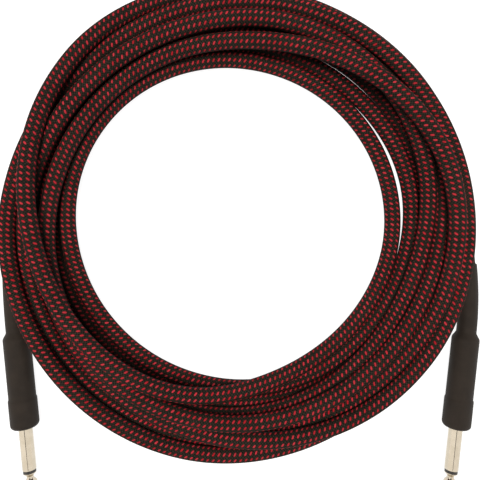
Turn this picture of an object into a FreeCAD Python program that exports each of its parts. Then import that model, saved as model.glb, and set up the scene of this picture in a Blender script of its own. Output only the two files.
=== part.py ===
"""A coiled instrument cable, about five metres long, with a straight 6.35 mm plug on each end.

The cable lies in a loose round coil of eight and a half turns that pile up, cross over each other and run
out into two plugs side by side. Each plug is a turned tip on a long rod, an insulating tube, a turned shaft
with its ground lug, a tip lug, a lined metal barrel and a moulded boot with a narrow tail, and inside it the
cable is stripped in steps down to its conductor.

The origin is under the middle of the coil, on the surface that it lies on. The plugs point towards -Y.
"""
import FreeCAD, Part
import Sketcher
import math
import os

V = FreeCAD.Vector
doc = FreeCAD.newDocument("InstrumentCable")

# Driving dimensions in millimetres, angles in degrees. Places along a plug are counted from the boot's rear.
SIZES = {
    "cable_dia": 7.8, "turn_gap": 0.75, "flat_depth": 0.78,
    "boot_dia": 13.2, "boot_len": 43.9, "boot_edge": 2.2, "boot_front_wall": 1.2,
    "shoulder_len": 3.0, "tail_dia": 9.1, "tail_len": 33.0, "tail_gap": 0.15, "fit_gap": 0.05,
    "shaft_dia": 6.35, "shaft_len": 20.6, "neck_dia": 7.0, "shaft_bore": 4.4,
    "collar_inset": 0.15, "collar_len": 1.6, "thread_gap": 0.1, "thread_len": 8.0,
    "ring_dia": 6.0, "ring_len": 1.4,
    "tip_len": 9.2, "tip_dia": 6.0, "tip_shoulder": 0.3, "tip_neck": 1.9, "tip_neck_dia": 3.2,
    "tip_flare": 2.6, "tip_end_dia": 2.2, "tip_edge": 0.4,
    "rod_dia": 2.4, "rivet_dia": 3.8, "rivet_len": 0.8,
    "barrel_wall": 0.4, "liner_wall": 0.4, "liner_inset": 1.1,
    "lug_thick": 0.5, "ground_lug_dia": 8.6, "tang_width": 2.4,
    "clamp_len": 5.0, "clamp_inset": 2.0, "clamp_gap": 0.25, "clamp_angle": 240.0,
    "washer_dia": 8.0, "washer_len": 1.2,
    "tip_lug_dia": 5.6, "tag_width": 2.2, "tag_len": 5.6, "tag_step": 1.6,
    "jacket_bore": 4.1, "strip_depth": 8.0, "braid_dia": 4.0, "braid_show": 1.5,
    "core_dia": 3.0, "core_show": 6.0, "core_gap": 1.2, "wire_dia": 0.8, "wire_lap": 2.3,
    "pigtail_dia": 1.2, "pigtail_rise": 2.2, "pigtail_len": 7.0, "pigtail_tilt": 8.0, "solder_dia": 2.2,
    "right_x": 114.2, "right_y": -56.8, "right_lean": 6.2, "right_bend": 12.0,
    "left_x": -105.1, "left_y": -56.7, "left_lean": 5.6, "left_bend": 5.0,
}
sheet = doc.addObject("Spreadsheet::Sheet", "Sizes")
for row, (alias, amount) in enumerate(SIZES.items(), 1):
    sheet.set("A%d" % row, alias)
    sheet.set("B%d" % row, str(amount))
    sheet.setAlias("B%d" % row, alias)
doc.recompute()


def cells(words):
    """The words of an expression with each size's name turned into its cell in the sheet."""
    out = words
    for alias in sorted(SIZES, key=len, reverse=True):
        out = out.replace("<%s>" % alias, "Sizes.%s" % alias)
    return out


def size(words):
    """The amount that an expression gives now."""
    return float(sheet.evalExpression(cells(words)))


# Sides of the cable's section and of a tail's, their corners on the round
CABLE_SIDES = 6
TAIL_SIDES = 12

# Places along a plug that more than one piece shares
FRONT = "<boot_len>"
COLLAR_FRONT = "<boot_len> - <boot_front_wall>"
BARREL_FRONT = "<boot_len> - <boot_front_wall> - <collar_len>"
THREAD_END = "(%s - <thread_len>)" % BARREL_FRONT
RING_REAR = "(<boot_len> + <shaft_len>)"
TIP_REAR = "(<boot_len> + <shaft_len> + <ring_len>)"
GROUND_REAR = "(%s - <lug_thick>)" % THREAD_END
WASHER_REAR = "(%s - <washer_len>)" % GROUND_REAR
TIP_LUG_REAR = "(%s - <lug_thick>)" % WASHER_REAR
TANG_LOW = "(<cable_dia> / 2 + <fit_gap>)"
LINER_IN = "(%s + <lug_thick> + <clamp_gap>)" % TANG_LOW
LINER_OUT = "(%s + <liner_wall>)" % LINER_IN
BARREL_IN = "(%s + <fit_gap>)" % LINER_OUT
BARREL_OUT = "(%s + <barrel_wall>)" % BARREL_IN
BOOT_BORE = "(%s + <fit_gap>)" % BARREL_OUT
THREAD_OUT = "(%s - <thread_gap>)" % BARREL_IN
COLLAR_OUT = "(%s - <collar_inset>)" % BARREL_OUT
ROD_HOLE = "(<rod_dia> / 2 + <fit_gap>)"
TAG_FRONT = "(%s - <tag_step>)" % WASHER_REAR
TAG_REAR = "(%s - <tag_len>)" % TAG_FRONT
WIRE_END = "(%s + <wire_lap>)" % TAG_REAR
CORE_END = "(%s - <core_gap>)" % TAG_REAR
JACKET_END = "(%s - <core_show>)" % CORE_END
BRAID_END = "(%s + <braid_show>)" % JACKET_END
STRIP_REAR = "(%s - <strip_depth>)" % JACKET_END
CLAMP_REAR = "(%s - <clamp_len> - <clamp_inset>)" % JACKET_END
PIGTAIL_REAR = "(%s + <braid_show> / 2)" % JACKET_END
TAG_TOP = "(-<wire_dia> / 2 - <fit_gap>)"


def plane(body, role):
    return [f for f in body.Origin.OriginFeatures if f.Role == role][0]


def outline(body, name, points):
    """A closed sketch on the body's XY plane through points given as (along, out) expressions."""
    sketch = body.newObject("Sketcher::SketchObject", name)
    sketch.AttachmentSupport = (plane(body, "XY_Plane"), [""])
    sketch.MapMode = "FlatFace"
    spots = [V(size(along), size(out), 0) for along, out in points]
    count = len(points)
    for i in range(count):
        sketch.addGeometry(Part.LineSegment(spots[i], spots[(i + 1) % count]), False)
    for i in range(count):
        sketch.addConstraint(Sketcher.Constraint("Coincident", i, 2, (i + 1) % count, 1))
    for i, (along, out) in enumerate(points):
        for kind, words, amount in (("DistanceX", along, spots[i].x), ("DistanceY", out, spots[i].y)):
            if words == "0":
                axis = -1 if kind == "DistanceY" else -2
                sketch.addConstraint(Sketcher.Constraint("PointOnObject", i, 1, axis))
            else:
                at = sketch.addConstraint(Sketcher.Constraint(kind, -1, 1, i, 1, amount))
                sketch.setExpression("Constraints[%d]" % at, cells(words))
    return sketch


def new_body(name):
    body = doc.addObject("PartDesign::Body", name)
    body.Label = name
    return body


def turned(body, name, points, angle=None):
    """Turn an outline about the plug's axis, all round or as far as an angle says."""
    sketch = outline(body, name + "_outline", points)
    turn = body.newObject("PartDesign::Revolution", name)
    turn.Profile = sketch
    turn.ReferenceAxis = (sketch, ["H_Axis"])
    turn.Angle = 360
    if angle:
        turn.Midplane = True
        turn.setExpression("Angle", cells(angle))
    return turn


def bored(body, name, points):
    """Cut an outline out, all round the plug's axis."""
    sketch = outline(body, name + "_outline", points)
    cut = body.newObject("PartDesign::Groove", name)
    cut.Profile = sketch
    cut.ReferenceAxis = (sketch, ["H_Axis"])
    cut.Angle = 360
    return cut


def placed(feature, x="0", y="0", z="0"):
    for axis, words in (("x", x), ("y", y), ("z", z)):
        feature.setExpression("Placement.Base." + axis, cells(words))


def bar(body, name, x, y, length, height, width, cut=False):
    """A bar along the plug, from x and y on, its width centred on the axis."""
    kind = "PartDesign::SubtractiveBox" if cut else "PartDesign::AdditiveBox"
    box = body.newObject(kind, name)
    for prop, words in (("Length", length), ("Width", height), ("Height", width)):
        box.setExpression(prop, cells(words))
    placed(box, x, y, "-(%s) / 2" % width)
    return box


def rod(body, name, x, y, dia, length, tilt="0", cut=False):
    """A round rod that starts at x and y and rises by a tilt as it runs forwards."""
    kind = "PartDesign::SubtractiveCylinder" if cut else "PartDesign::AdditiveCylinder"
    wire = body.newObject(kind, name)
    wire.setExpression("Radius", cells(dia + " / 2"))
    wire.setExpression("Height", cells(length))
    wire.Placement.Rotation = FreeCAD.Rotation(V(0, 1, 0), 90)
    if tilt != "0":
        lean = FreeCAD.Rotation(V(0, 0, 1), size(tilt))
        wire.Placement.Rotation = lean.multiply(FreeCAD.Rotation(V(0, 1, 0), 90))
    placed(wire, x, y)
    return wire


def section(body, name, bend, dia, sides):
    """The cable's or the tail's many-sided section where the bend starts, and the axis that it bends about."""
    sketch = body.newObject("Sketcher::SketchObject", name)
    sketch.AttachmentSupport = (plane(body, "YZ_Plane"), [""])
    sketch.MapMode = "FlatFace"
    sketch.setExpression("AttachmentOffset.Base.z", cells("-<shoulder_len>"))
    middle = "-<tail_len> / (<%s> * pi / 180)" % bend
    corners = []
    for i in range(sides):
        turn = 360 * (i + 0.5) / sides
        corners.append((dia + " / 2 * sin(%g deg)" % turn, dia + " / 2 * cos(%g deg)" % turn))
    corners += [(middle, "-" + dia), (middle, dia)]
    spots = [V(size(across), size(up), 0) for across, up in corners]
    for i in range(sides):
        sketch.addGeometry(Part.LineSegment(spots[i], spots[(i + 1) % sides]), False)
    sketch.addGeometry(Part.LineSegment(spots[sides], spots[sides + 1]), True)
    for i in range(sides):
        sketch.addConstraint(Sketcher.Constraint("Coincident", i, 2, (i + 1) % sides, 1))
    for i, (across, up) in enumerate(corners):
        line, end = (i, 1) if i < sides else (sides, 1 + i - sides)
        for kind, words, amount in (("DistanceX", across, spots[i].x), ("DistanceY", up, spots[i].y)):
            at = sketch.addConstraint(Sketcher.Constraint(kind, -1, 1, line, end, amount))
            sketch.setExpression("Constraints[%d]" % at, cells(words))
    return sketch


def bent(body, name, bend, dia, sides, cut=False):
    """The stretch of a boot's tail: a many-sided section turned about the middle of its bend."""
    sketch = section(body, name + "_section", bend, dia, sides)
    arc = body.newObject("PartDesign::Groove" if cut else "PartDesign::Revolution", name)
    arc.Profile = sketch
    arc.ReferenceAxis = (sketch, ["Axis0"])
    arc.setExpression("Angle", cells("<%s>" % bend))
    return arc


def tip_contact(side):
    body = new_body(side + "_tip_contact")
    neck = "(%s + <tip_shoulder> + <tip_neck>)" % TIP_REAR
    crest = "(%s + <tip_flare>)" % neck
    end = "(%s + <tip_len>)" % TIP_REAR
    turned(body, side + "_tip", [
        (TIP_LUG_REAR + " - <rivet_len>", "0"),
        (TIP_LUG_REAR + " - <rivet_len>", "<rivet_dia> / 2"),
        (TIP_LUG_REAR, "<rivet_dia> / 2"),
        (TIP_LUG_REAR, "<rod_dia> / 2"),
        (TIP_REAR, "<rod_dia> / 2"),
        (TIP_REAR, "<tip_dia> / 2"),
        (TIP_REAR + " + <tip_shoulder>", "<tip_dia> / 2"),
        (neck, "<tip_neck_dia> / 2"),
        (crest + " - <tip_edge>", "<tip_dia> / 2"),
        (crest + " + <tip_edge>", "<tip_dia> / 2"),
        (end + " - <tip_edge>", "<tip_end_dia> / 2"),
        (end, "<tip_end_dia> / 2 - <tip_edge>"),
        (end, "0"),
    ])
    return body


def front_ring(side):
    body = new_body(side + "_insulator_ring")
    turned(body, side + "_ring", [
        (RING_REAR, ROD_HOLE), (TIP_REAR, ROD_HOLE), (TIP_REAR, "<ring_dia> / 2"), (RING_REAR, "<ring_dia> / 2"),
    ])
    return body


def insulating_tube(side):
    body = new_body(side + "_insulating_tube")
    out = "(<shaft_bore> / 2 - <fit_gap>)"
    turned(body, side + "_tube", [
        (GROUND_REAR, ROD_HOLE), (RING_REAR, ROD_HOLE), (RING_REAR, out), (GROUND_REAR, out),
    ])
    return body


def shaft(side):
    body = new_body(side + "_shaft")
    turned(body, side + "_shaft_turned", [
        (THREAD_END, "<shaft_bore> / 2"),
        (RING_REAR, "<shaft_bore> / 2"),
        (RING_REAR, "<shaft_dia> / 2"),
        (FRONT, "<shaft_dia> / 2"),
        (FRONT, "<neck_dia> / 2"),
        (COLLAR_FRONT, "<neck_dia> / 2"),
        (COLLAR_FRONT, COLLAR_OUT),
        (BARREL_FRONT, COLLAR_OUT),
        (BARREL_FRONT, THREAD_OUT),
        (THREAD_END, THREAD_OUT),
    ])
    return body


def ground_lug(side):
    body = new_body(side + "_ground_lug")
    top = TANG_LOW + " + <lug_thick>"
    turned(body, side + "_lug_ring", [
        (GROUND_REAR, "<shaft_bore> / 2"), (THREAD_END, "<shaft_bore> / 2"),
        (THREAD_END, "<ground_lug_dia> / 2"), (GROUND_REAR, "<ground_lug_dia> / 2"),
    ])
    turned(body, side + "_clamp", [
        (CLAMP_REAR, TANG_LOW), (CLAMP_REAR + " + <clamp_len>", TANG_LOW),
        (CLAMP_REAR + " + <clamp_len>", top), (CLAMP_REAR, top),
    ], "<clamp_angle>")
    bar(body, side + "_tang", CLAMP_REAR, TANG_LOW, "%s - %s" % (THREAD_END, CLAMP_REAR), "<lug_thick>",
        "<tang_width>")
    return body


def rear_washer(side):
    body = new_body(side + "_rear_washer")
    turned(body, side + "_washer", [
        (WASHER_REAR, ROD_HOLE), (GROUND_REAR, ROD_HOLE),
        (GROUND_REAR, "<washer_dia> / 2"), (WASHER_REAR, "<washer_dia> / 2"),
    ])
    return body


def tip_lug(side):
    body = new_body(side + "_tip_lug")
    low = "-<tip_lug_dia> / 2"
    turned(body, side + "_tip_ring", [
        (TIP_LUG_REAR, ROD_HOLE), (WASHER_REAR, ROD_HOLE),
        (WASHER_REAR, "<tip_lug_dia> / 2"), (TIP_LUG_REAR, "<tip_lug_dia> / 2"),
    ])
    bar(body, side + "_tag_base", TAG_FRONT, low, "<tag_step>", "<lug_thick>", "<tag_width>")
    bar(body, side + "_tag_riser", TAG_FRONT, low, "<lug_thick>", "<tip_lug_dia> / 2 + %s" % TAG_TOP, "<tag_width>")
    bar(body, side + "_tag", TAG_REAR, TAG_TOP + " - <lug_thick>", "<tag_len> + <lug_thick>", "<lug_thick>",
        "<tag_width>")
    return body


def barrel(side):
    body = new_body(side + "_barrel")
    turned(body, side + "_barrel_turned", [
        ("0", BARREL_IN), (BARREL_FRONT, BARREL_IN), (BARREL_FRONT, BARREL_OUT), ("0", BARREL_OUT),
    ])
    return body


def liner(side):
    body = new_body(side + "_liner")
    front = "(%s - <liner_inset>)" % THREAD_END
    turned(body, side + "_liner_turned", [
        ("<liner_inset>", LINER_IN), (front, LINER_IN), (front, LINER_OUT), ("<liner_inset>", LINER_OUT),
    ])
    return body


def boot(side):
    body = new_body(side + "_boot")
    mouth = "(<cable_dia> / 2 + <tail_gap>)"
    turned(body, side + "_boot_outside", [
        ("-<shoulder_len>", "0"), ("-<shoulder_len>", "<tail_dia> / 2"), ("0", "<boot_dia> / 2"),
        (FRONT + " - <boot_edge>", "<boot_dia> / 2"),
        (FRONT + " - 0.29 * <boot_edge>", "<boot_dia> / 2 - 0.29 * <boot_edge>"),
        (FRONT, "<boot_dia> / 2 - <boot_edge>"), (FRONT, "0"),
    ])
    bent(body, side + "_tail", side + "_bend", "<tail_dia>", TAIL_SIDES)
    bored(body, side + "_boot_inside", [
        ("-<shoulder_len>", "0"), ("-<shoulder_len>", mouth), ("0", mouth), ("0", BOOT_BORE),
        (COLLAR_FRONT, BOOT_BORE), (COLLAR_FRONT, "<neck_dia> / 2 + <fit_gap>"),
        (FRONT, "<neck_dia> / 2 + <fit_gap>"), (FRONT, "0"),
    ])
    bent(body, side + "_tail_bore", side + "_bend", "(<cable_dia> + 2 * <tail_gap>)", TAIL_SIDES, cut=True)
    return body


def jacket_end(side):
    body = new_body(side + "_jacket_end")
    straight = body.newObject("PartDesign::Pad", side + "_jacket")
    straight.Profile = section(body, side + "_jacket_section", side + "_bend", "<cable_dia>", CABLE_SIDES)
    straight.setExpression("Length", cells("<shoulder_len> + " + JACKET_END))
    bent(body, side + "_jacket_tail", side + "_bend", "<cable_dia>", CABLE_SIDES)
    bored(body, side + "_jacket_bore", [
        (STRIP_REAR, "0"), (STRIP_REAR, "<jacket_bore> / 2"), (JACKET_END, "<jacket_bore> / 2"), (JACKET_END, "0"),
    ])
    return body


def shield_braid(side):
    body = new_body(side + "_shield_braid")
    inside = "(<core_dia> / 2 + <fit_gap>)"
    turned(body, side + "_braid", [
        (STRIP_REAR, inside), (BRAID_END, inside), (BRAID_END, "<braid_dia> / 2"), (STRIP_REAR, "<braid_dia> / 2"),
    ])
    rod(body, side + "_pigtail", PIGTAIL_REAR, "<pigtail_rise>", "<pigtail_dia>", "<pigtail_len>", "<pigtail_tilt>")
    return body


def core(side):
    body = new_body(side + "_core")
    hole = "(<wire_dia> / 2 + <fit_gap>)"
    turned(body, side + "_core_turned", [
        (STRIP_REAR, hole), (CORE_END, hole), (CORE_END, "<core_dia> / 2"), (STRIP_REAR, "<core_dia> / 2"),
    ])
    return body


def conductor(side):
    body = new_body(side + "_conductor")
    rod(body, side + "_wire", STRIP_REAR, "0", "<wire_dia>", "%s - %s" % (WIRE_END, STRIP_REAR))
    return body


def tip_solder(side):
    body = new_body(side + "_tip_solder")
    rod(body, side + "_tip_bead", WIRE_END + " - <solder_dia> / 2", "<wire_dia> / 2", "<solder_dia>", "<solder_dia>")
    rod(body, side + "_tip_bead_wire", STRIP_REAR, "0", "<wire_dia>", "%s - %s" % (WIRE_END, STRIP_REAR), cut=True)
    bar(body, side + "_tip_bead_tag", TAG_REAR, TAG_TOP + " - <solder_dia>", "<tag_len> + <solder_dia>",
        "<solder_dia>", "2 * <solder_dia>", cut=True)
    return body


def ground_solder(side):
    body = new_body(side + "_ground_solder")
    rod(body, side + "_ground_bead", PIGTAIL_REAR + " + <pigtail_len> - <solder_dia> / 2",
        TANG_LOW + " - <pigtail_dia> / 2", "<solder_dia>", "<solder_dia>")
    rod(body, side + "_ground_bead_wire", PIGTAIL_REAR, "<pigtail_rise>", "<pigtail_dia>", "<pigtail_len>",
        "<pigtail_tilt>", cut=True)
    bar(body, side + "_ground_bead_tang", CLAMP_REAR, TANG_LOW, "%s - %s" % (THREAD_END, CLAMP_REAR),
        "<solder_dia>", "2 * <solder_dia>", cut=True)
    return body


PIECES = (tip_contact, front_ring, insulating_tube, shaft, ground_lug, rear_washer, tip_lug, barrel, liner, boot,
          jacket_end, shield_braid, core, conductor, tip_solder, ground_solder)


def plug_placement(side):
    """Where a plug lies: its boot on the surface, its tip pointing towards -Y and a little inwards."""
    lean = math.radians(size("<%s_lean>" % side))
    outwards = 1 if side == "right" else -1
    ahead = V(-outwards * math.sin(lean), -math.cos(lean), 0)
    up = V(0, 0, outwards)
    turn = FreeCAD.Rotation(ahead, up.cross(ahead), up, "XYZ")
    return FreeCAD.Placement(V(size("<%s_x>" % side), size("<%s_y>" % side), size("<boot_dia> / 2")), turn)


def tail_axis(side, share):
    """A point of the tail's axis and the way the cable runs out of it there, a share of the way along."""
    bend = math.radians(size("<%s_bend>" % side))
    radius = size("<tail_len>") / bend
    a = bend * share
    spot = V(-size("<shoulder_len>") - radius * math.sin(a), -radius * (1 - math.cos(a)), 0)
    place = plug_placement(side)
    return place.multVec(spot), place.Rotation.multVec(V(-math.cos(a), -math.sin(a), 0))


nodes = []
for side in ("right", "left"):
    for make in PIECES:
        nodes.append(make(side))
doc.recompute()
for body in nodes:
    body.Placement = plug_placement(body.Label.split("_")[0])

# The coil as it lies, read at each quarter turn from the right plug on: the radius, the height over the lowest
# turn, and how fast the cable drifts outwards and climbs there, as its change over a quarter turn.
RUN_IN = 20.0
READINGS = (
    (110.5, 0, 6, 0),
    (110, 3, 9, 7), (92, 25, -14, -8), (81.5, 12, -18, -31),
    (80, 0, 2, 0), (80.5, 1, 8, 3), (80.5, 4, -4, -5), (83, 0, 10, 0),
    (88.5, 1, 5, 4), (87.5, 0, 4, 0), (87, 0, 1, 0), (89.5, 0, 5, 0),
    (96.5, 0, 7, 0), (95, 0, 1, -1), (95.5, 0, 0, -1), (93, 8, 0, 5),
    (94.5, 9, 17, 10), (93.5, 17, -14, 1), (97, 13, 19, -21), (108, 2, -18, 14),
    (103, 19, -11, 26), (84, 13, 2, -17), (87, 12, 13, -1), (95, 16, 3, 3),
    (102.5, 9, 15, -2), (99, 9, -15, 2), (94.5, 8, -3, 3), (103, 14, 19, -3),
    (109.5, 15, -9, 6), (103.5, 9, -8, -4), (103, 15, 4, 11), (113.5, 2, -3, -4),
    (107, 0, -2, 0), (105.5, 0, 2, 0),
)
GRID = 7.5
ROUNDS = 700
QUARTER = math.pi / 2


def polar(spot):
    return math.hypot(spot.x, spot.y), math.degrees(math.atan2(spot.y, spot.x))


def loose_end(side):
    """The station one cable diameter out of a plug's tail: its angle and its reading."""
    spot, ahead = tail_axis(side, 1)
    spot = spot + ahead * size("<cable_dia>")
    radius, angle = polar(spot)
    out = V(math.cos(math.radians(angle)), math.sin(math.radians(angle)), 0)
    along = V(-out.y, out.x, 0)
    drift = ahead.dot(out) / ahead.dot(along) * radius * QUARTER
    return angle, [radius, spot.z, drift, 0.0]


def stations():
    """The angle and the reading of each station, from one plug to the other."""
    floor = size("<cable_dia> / 2 - <flat_depth>")
    start, first = loose_end("right")
    finish, last = loose_end("left")
    angles = [start, RUN_IN] + [90.0 * k for k in range(1, len(READINGS))]
    angles.append(360 * (len(READINGS) // 4) + finish % 360)
    rows = [[r, floor + up, drift, climb] for r, up, drift, climb in READINGS]
    return angles, [first] + rows + [last]


def ray(angle, reading):
    """A station in space: its point and the direction of the cable there."""
    radius, height, drift, climb = reading
    a = math.radians(angle)
    out, along = V(math.cos(a), math.sin(a), 0), V(-math.sin(a), math.cos(a), 0)
    way = out * (drift / QUARTER) + along * radius + V(0, 0, climb / QUARTER)
    return out * radius + V(0, 0, height), way.normalize()


def joined(p0, t0, p1, t1):
    """Two arcs that join two stations smoothly: where they meet, and the direction there."""
    v, t = p1 - p0, t0 + t1
    vt, slack = v.dot(t), 2 * (1 - t0.dot(t1))
    d = (math.sqrt(vt * vt + slack * v.dot(v)) - vt) / slack
    return (p0 + p1 + (t0 - t1) * d) * 0.5, ((p1 - t1 * d) - (p0 + t0 * d)).normalize()


def arc_through(p0, t0, p1):
    """The arc that leaves p0 along t0 and ends at p1: its radius, its angle and the way its centre lies."""
    chord = p1 - p0
    inward = chord - t0 * chord.dot(t0)
    radius = chord.dot(chord) / (2 * inward.Length)
    return radius, 2 * math.asin(inward.Length / chord.Length), inward.normalize()


def on_arc(p0, t0, arc, share):
    radius, angle, inward = arc
    a = angle * share
    return p0 + t0 * (radius * math.sin(a)) + inward * (radius * (1 - math.cos(a)))


def arcs_of(angles, readings):
    """Every arc of the coil in order: its start, its direction there and its end."""
    rays = [ray(a, r) for a, r in zip(angles, readings)]
    out = []
    for (p0, t0), (p1, t1) in zip(rays, rays[1:]):
        middle, way = joined(p0, t0, p1, t1)
        out += [(p0, t0, middle), (middle, way, p1)]
    return out


def traced(angles, readings, steps):
    """Points along every arc: unwound angle, radius and height."""
    out, last = [], angles[0]
    for p0, t0, p1 in arcs_of(angles, readings):
        arc = arc_through(p0, t0, p1)
        for i in range(steps):
            spot = on_arc(p0, t0, arc, i / steps)
            radius, angle = polar(spot)
            last = angle + 360 * round((last - angle) / 360)
            out.append((last, radius, spot.z))
    out.append((angles[-1], readings[-1][0], readings[-1][1]))
    return out


def sections(angles, readings, grid):
    """The coil cut at each angle of a grid: radius, height and how each slopes along the cable."""
    points = traced(angles, readings, 6)
    out, k = [], 0
    for g in grid:
        while k < len(points) - 2 and points[k + 1][0] <= g:
            k += 1
        (a0, r0, z0), (a1, r1, z1) = points[k], points[k + 1]
        u, run = (g - a0) / (a1 - a0), math.radians(a1 - a0) * r0
        out.append((r0 + u * (r1 - r0), z0 + u * (z1 - z0), (r1 - r0) / run, (z1 - z0) / run))
    return out


def blend(u):
    """How much each end of a span moves a point of it: by the two readings, then by their two slopes."""
    return 1 - 3 * u**2 + 2 * u**3, 3 * u**2 - 2 * u**3, u - 2 * u**2 + u**3, u**3 - u**2


def boots_in_the_way():
    """The boots as the coil meets them: for each angle the radius of a boot's axis and how far off to stay."""
    clear = size("<cable_dia> / 2 + <turn_gap>")
    found = {}
    for side in ("right", "left"):
        barrel_end = plug_placement(side).multVec(V(size(FRONT), 0, 0))
        rear, _ = tail_axis(side, 0)
        stretches = ((lambda u: barrel_end + (rear - barrel_end) * u, "<boot_dia> / 2"),
                     (lambda u: tail_axis(side, u)[0], "<tail_dia> / 2"))
        for point_at, radius in stretches:
            for i in range(41):
                r, angle = polar(point_at(i / 40))
                slot = round(angle / GRID) % int(360 / GRID)
                off = abs(angle / GRID - round(angle / GRID))
                if slot not in found or off < found[slot][0]:
                    found[slot] = (off, r, size(radius) + clear)
    return {slot: (r, keep) for slot, (off, r, keep) in found.items() if off < 0.3}


def laid():
    """Lay the turns as read, then push apart every two that are too close, and up what is under the surface."""
    angles, first = stations()
    rows = [list(r) for r in first]
    floor = size("<cable_dia> / 2 - <flat_depth>")
    spacing = size("<cable_dia> + <turn_gap>")
    axis_height = size("<boot_dia> / 2")
    low, high = math.ceil(angles[0] / GRID), math.floor(angles[-1] / GRID)
    grid = [GRID * i for i in range(low, high + 1)]
    spans = []
    for g in grid:
        k = max(i for i in range(len(angles) - 1) if angles[i] <= g)
        spans.append((k, blend((g - angles[k]) / (angles[k + 1] - angles[k]))))
    turn = round(360 / GRID)
    boots = boots_in_the_way()
    hold = 0.02
    for _ in range(ROUNDS):
        cuts = sections(angles, rows, grid)
        push = [[0.0, 0.0, 0] for g in grid]

        def shove(i, dr, dz, share):
            push[i][0] += dr * share
            push[i][1] += dz * share
            push[i][2] += 1

        for i, (r, z, r_slope, z_slope) in enumerate(cuts):
            for j in range(i + turn, len(grid), turn):
                dr, dz = cuts[j][0] - r, cuts[j][1] - z
                apart = math.hypot(dr, dz) or 1e-6
                if apart > 1.3 * spacing:
                    continue
                slant = ((r_slope + cuts[j][2]) * dr + (z_slope + cuts[j][3]) * dz) / (2 * apart)
                short = spacing - apart / math.sqrt(1 + slant * slant)
                if short > 0:
                    shove(i, dr, dz, -short / (2 * apart))
                    shove(j, dr, dz, short / (2 * apart))
            slot = round(grid[i] / GRID) % turn
            if slot in boots and angles[2] < grid[i] < angles[-1] - GRID:
                dr, dz = r - boots[slot][0], z - axis_height
                apart = math.hypot(dr, dz)
                if apart < boots[slot][1]:
                    shove(i, dr, dz, (boots[slot][1] - apart) / apart)
            if z < floor:
                shove(i, 0, 1, floor - z)
        moves = [[0.0] * 6 for r in rows]
        for (dr, dz, count), (k, w) in zip(push, spans):
            if not count:
                continue
            worth = w[0]**2 + w[1]**2 + 20 * (w[2]**2 + w[3]**2)
            for move, by_place, by_slope in ((moves[k], w[0], w[2]), (moves[k + 1], w[1], w[3])):
                for m, amount in enumerate((dr / count, dz / count)):
                    move[m] += amount * by_place * abs(by_place) / worth
                    move[m + 2] += 20 * amount * by_slope * abs(by_slope) / worth
                move[4] += abs(by_place)
                move[5] += abs(by_slope)
        for k in range(1, len(rows) - 1):
            for m in range(4):
                total = moves[k][4 if m < 2 else 5]
                if total > 1e-6:
                    rows[k][m] += 1.2 * moves[k][m] / total
                rows[k][m] += hold * (first[k][m] - rows[k][m])
        hold *= 0.985
    return angles, rows


def coil_path(angles, rows):
    """The cable's centre line: straight out of each plug, then two arcs from each station to the next."""
    edges, radii = [], []
    out_of, _ = tail_axis("right", 1)
    into, _ = tail_axis("left", 1)
    arcs = arcs_of(angles, rows)
    edges.append(Part.LineSegment(out_of, arcs[0][0]).toShape())
    for p0, t0, p1 in arcs:
        arc = arc_through(p0, t0, p1)
        radii.append(arc[0])
        edges.append(Part.Arc(p0, on_arc(p0, t0, arc, 0.5), p1).toShape())
    edges.append(Part.LineSegment(arcs[-1][2], into).toShape())
    return Part.Wire(edges), radii


def least_gap(wire):
    """The least gap between two turns, on points half a diameter apart."""
    step = size("<cable_dia> / 2")
    points = wire.discretize(Distance=step)
    around = {}
    reach = 3 * step
    for i, p in enumerate(points):
        around.setdefault((int(p.x // reach), int(p.y // reach)), []).append(i)
    least = reach
    for (cx, cy), near in around.items():
        others = [j for dx in (-1, 0, 1) for dy in (-1, 0, 1) for j in around.get((cx + dx, cy + dy), [])]
        for i in near:
            for j in others:
                if j > i + 12:
                    p, q = points[i], points[j]
                    run = points[min(j + 1, len(points) - 1)] - points[j - 1]
                    run.normalize()
                    least = min(least, (p - q).cross(run).Length if abs((p - q).dot(run)) < step else least)
    return least - size("<cable_dia>")


def cable_coil():
    """One unbroken tube of six flats, cut flat where its lowest turns rest."""
    angles, rows = laid()
    wire, radii = coil_path(angles, rows)
    start, ahead = tail_axis("right", 1)
    across = ahead.cross(V(0, 0, 1)).normalize()
    corners = []
    for i in range(CABLE_SIDES):
        a = 2 * math.pi * (i + 0.5) / CABLE_SIDES
        corner = across * math.sin(a) + V(0, 0, 1) * math.cos(a)
        corners.append(start + corner * size("<cable_dia> / 2"))
    section = Part.makePolygon(corners + corners[:1])
    tube = wire.makePipeShell([section], True, False)
    area = Part.Face(section).Area
    print("cable length %.0f mm, tube volume over section times length %.5f, least radius %.0f mm"
          % (wire.Length, tube.Volume / (area * wire.Length), min(radii)))
    print("least gap between turns %.2f mm" % least_gap(wire))
    box = tube.BoundBox
    depth = size("<cable_dia>")
    under = Part.makeBox(box.XLength, box.YLength, depth, V(box.XMin, box.YMin, -depth))
    coil = doc.addObject("Part::Feature", "cable_coil")
    coil.Label = "cable_coil"
    coil.Shape = tube.cut(under)
    return coil


nodes.append(cable_coil())
doc.recompute()

for item in doc.Objects:
    if "Invalid" in item.State or "Error" in item.State:
        raise RuntimeError("%s is %s" % (item.Label, item.State))
os.makedirs("parts", exist_ok=True)
for node in nodes:
    shape = node.Shape
    if shape.isNull() or not shape.isValid() or not shape.Solids:
        raise RuntimeError("%s has no valid solid" % node.Label)
    shape.exportStep(os.path.join("parts", node.Label + ".step"))
print("%d nodes, %d faces" % (len(nodes), sum(len(n.Shape.Faces) for n in nodes)))
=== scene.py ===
"""A coiled instrument cable with a woven black and crimson jacket and a straight 6.35 mm plug on each end.

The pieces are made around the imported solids, in metres and in their frame: the surface that the cable lies
on is z = 0, and the plugs point towards -Y. Places along a plug are counted from the rear of its boot.
The sizes of patterns are in millimetres.
"""
import math

import bmesh
import bpy
import numpy as np
from mathutils import Matrix, Vector


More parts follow.
